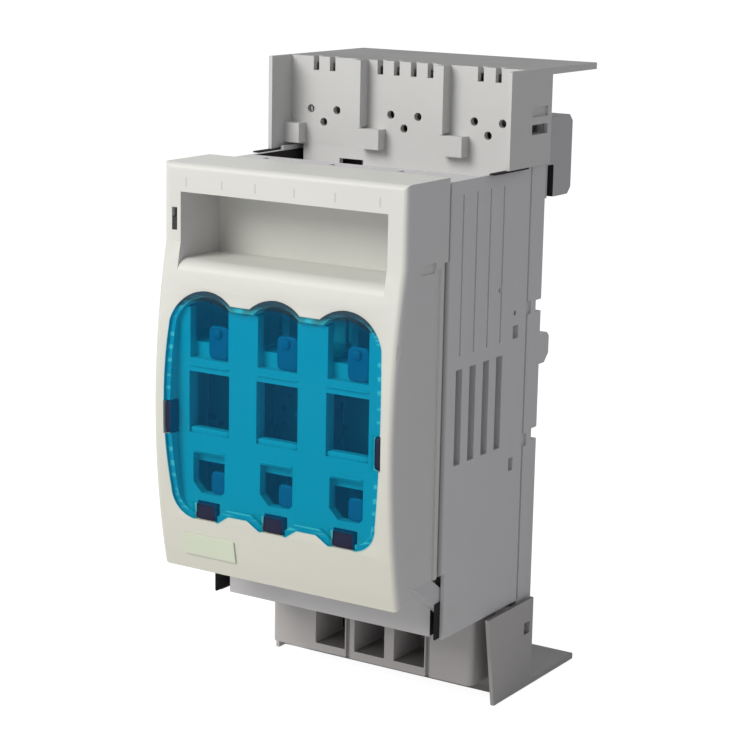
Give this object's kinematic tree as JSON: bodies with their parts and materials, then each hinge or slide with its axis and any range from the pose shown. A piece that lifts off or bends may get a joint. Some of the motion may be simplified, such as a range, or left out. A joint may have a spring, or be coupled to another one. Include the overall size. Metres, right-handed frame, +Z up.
{
  "type": "three-pole fuse switch disconnector for busbars",
  "caption": "Upright fuse switch that hooks onto flat busbars, with a hinged cover carrying blade fuses behind a blue window, a handle recess and two terminal shrouds.",
  "frame": {"origin": "centre of the rear face that rests on the middle busbar", "axes": "+X to the right seen from the front, +Y back towards the busbars, +Z up"},
  "size_m": [0.128, 0.17, 0.2895],
  "materials": {
    "cover_plastic": "satin light grey",
    "housing_plastic": "satin grey",
    "shroud_plastic": "satin grey",
    "window_blue": "clear blue",
    "plate_pale": "pale",
    "lock_black": "black",
    "fuse_ceramic": "dark brown glaze",
    "silvered_copper": "silver plated",
    "spring_steel": "blued",
    "zinc_steel": "zinc plated",
    "copper": "bare copper",
    "brown_fibre": "fibre"
  },
  "bodies": {
    "base": {"base_housing": "housing_plastic", "rear_adapter": "housing_plastic", "bar_hook_left": "housing_plastic", "bar_hook_right": "housing_plastic", "jaw_upper_1": "silvered_copper", "jaw_upper_2": "silvered_copper", "jaw_upper_3": "silvered_copper", "jaw_lower_1": "silvered_copper", "jaw_lower_2": "silvered_copper", "jaw_lower_3": "silvered_copper", "jaw_spring_upper_1": "spring_steel", "jaw_spring_upper_2": "spring_steel", "jaw_spring_upper_3": "spring_steel", "jaw_spring_lower_1": "spring_steel", "jaw_spring_lower_2": "spring_steel", "jaw_spring_lower_3": "spring_steel", "jaw_screws": "zinc_steel", "terminal_screws": "zinc_steel", "terminal_clamps": "zinc_steel", "housing_screws": "zinc_steel", "slide_rivets": "zinc_steel", "hinge_pins": "zinc_steel", "arc_plates_1": "zinc_steel", "arc_plates_2": "zinc_steel", "arc_plates_3": "zinc_steel", "bus_contact_1": "copper", "bus_contact_2": "copper", "bus_contact_3": "copper", "terminal_bar_1": "copper", "terminal_bar_2": "copper", "terminal_bar_3": "copper", "chute_cheeks_1": "brown_fibre", "chute_cheeks_2": "brown_fibre", "chute_cheeks_3": "brown_fibre"},
    "cover": {"front_cover": "cover_plastic", "inspection_window": "window_blue", "blank_plate": "plate_pale", "fuse_holder_1": "cover_plastic", "fuse_holder_2": "cover_plastic", "fuse_holder_3": "cover_plastic", "fuse_body_1": "fuse_ceramic", "fuse_body_2": "fuse_ceramic", "fuse_body_3": "fuse_ceramic", "fuse_end_upper_1": "silvered_copper", "fuse_end_upper_2": "silvered_copper", "fuse_end_upper_3": "silvered_copper", "fuse_end_lower_1": "silvered_copper", "fuse_end_lower_2": "silvered_copper", "fuse_end_lower_3": "silvered_copper"},
    "lock_slide": {"lock_slide": "lock_black"},
    "upper_shroud": {"upper_shroud": "shroud_plastic"},
    "lower_shroud": {"lower_shroud": "shroud_plastic"},
    "locking_slide": {"locking_slide": "spring_steel"}
  },
  "joints": [
    {"name": "cover_swing", "type": "hinge", "parent": "base", "child": "cover", "pos_m": [0, -0.0735, -0.124], "axis": [1, 0, 0], "range_deg": [0, 85]},
    {"name": "lock_slide_travel", "type": "slide", "parent": "cover", "child": "lock_slide", "axis": [0, 0, 1], "range_m": [0, 0.004]},
    {"name": "upper_shroud_pull", "type": "slide", "parent": "base", "child": "upper_shroud", "axis": [0, 0, 1], "range_m": [0, 0.04]},
    {"name": "lower_shroud_pull", "type": "slide", "parent": "base", "child": "lower_shroud", "axis": [0, -1, 0], "range_m": [0, 0.03]},
    {"name": "locking_slide_travel", "type": "slide", "parent": "base", "child": "locking_slide", "axis": [0, 0, -1], "range_m": [0, 0.005]}
  ]
}
